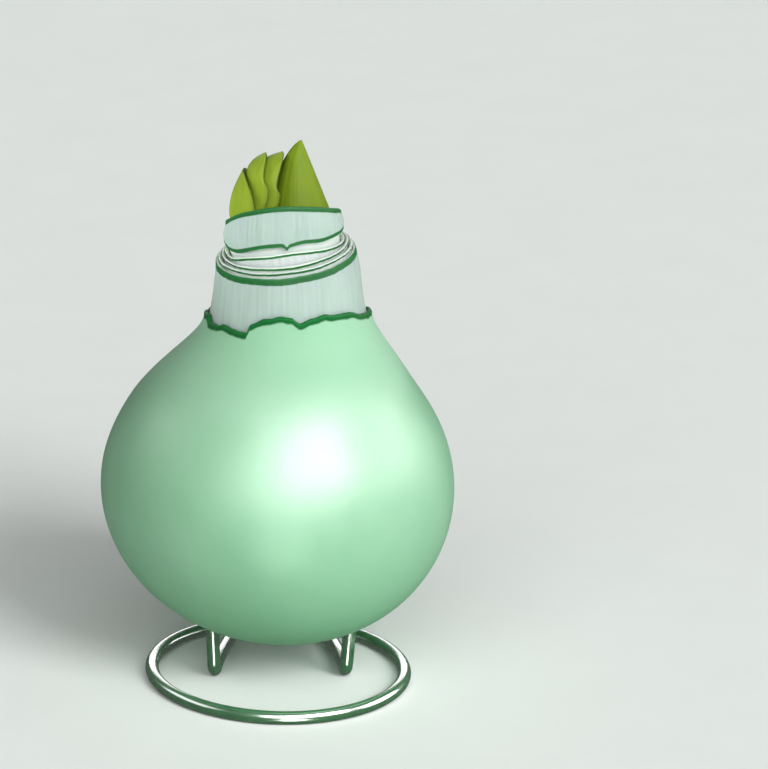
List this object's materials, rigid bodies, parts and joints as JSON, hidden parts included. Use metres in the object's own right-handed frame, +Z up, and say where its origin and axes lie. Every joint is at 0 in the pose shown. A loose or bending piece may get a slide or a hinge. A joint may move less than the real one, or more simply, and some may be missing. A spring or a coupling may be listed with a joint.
{
  "type": "waxed amaryllis bulb",
  "caption": "Amaryllis bulb dipped in green wax up to its cut neck, with a short leafy sprout, standing on a bent wire ring whose prongs are pushed up into it.",
  "frame": {"origin": "on the ground, under the middle of the bulb's belly; the lowest point of the part is at Z = 0", "axes": "+Z is up along the bulb; the viewer of the picture stands on the -Y side; +X is to the viewer's right, the side that the flower bud stands on"},
  "size_m": [0.096, 0.0963, 0.149],
  "materials": {
    "green_wax": "pale green dipping wax, smooth and softly glossy, darker in its folds and lower edge",
    "bulb_skin": "pale grey-green living bulb skin with fine lengthwise veins, satin",
    "cut_scale": "cream-white cut bulb scale, matt, with a thin darker skin on its outside",
    "sheath_skin": "pale grey-green sheath skin with fine lengthwise veins, satin",
    "leaf_green": "olive-green young leaf with parallel veins and a darker margin, waxy satin",
    "bud_green": "olive-green bud sheath with fine lengthwise veins, waxy satin",
    "coated_wire": "steel wire with a glossy dark green plastic coat"
  },
  "bodies": {
    "root": {"wax_coat": "green_wax", "bulb": "bulb_skin", "neck_scale_1": "cut_scale", "neck_scale_2": "cut_scale", "neck_scale_3": "cut_scale", "sheath": "sheath_skin", "leaf_outer": "leaf_green", "leaf_middle": "leaf_green", "leaf_inner": "leaf_green", "flower_bud": "bud_green", "wire_stand": "coated_wire"}
  },
  "joints": []
}
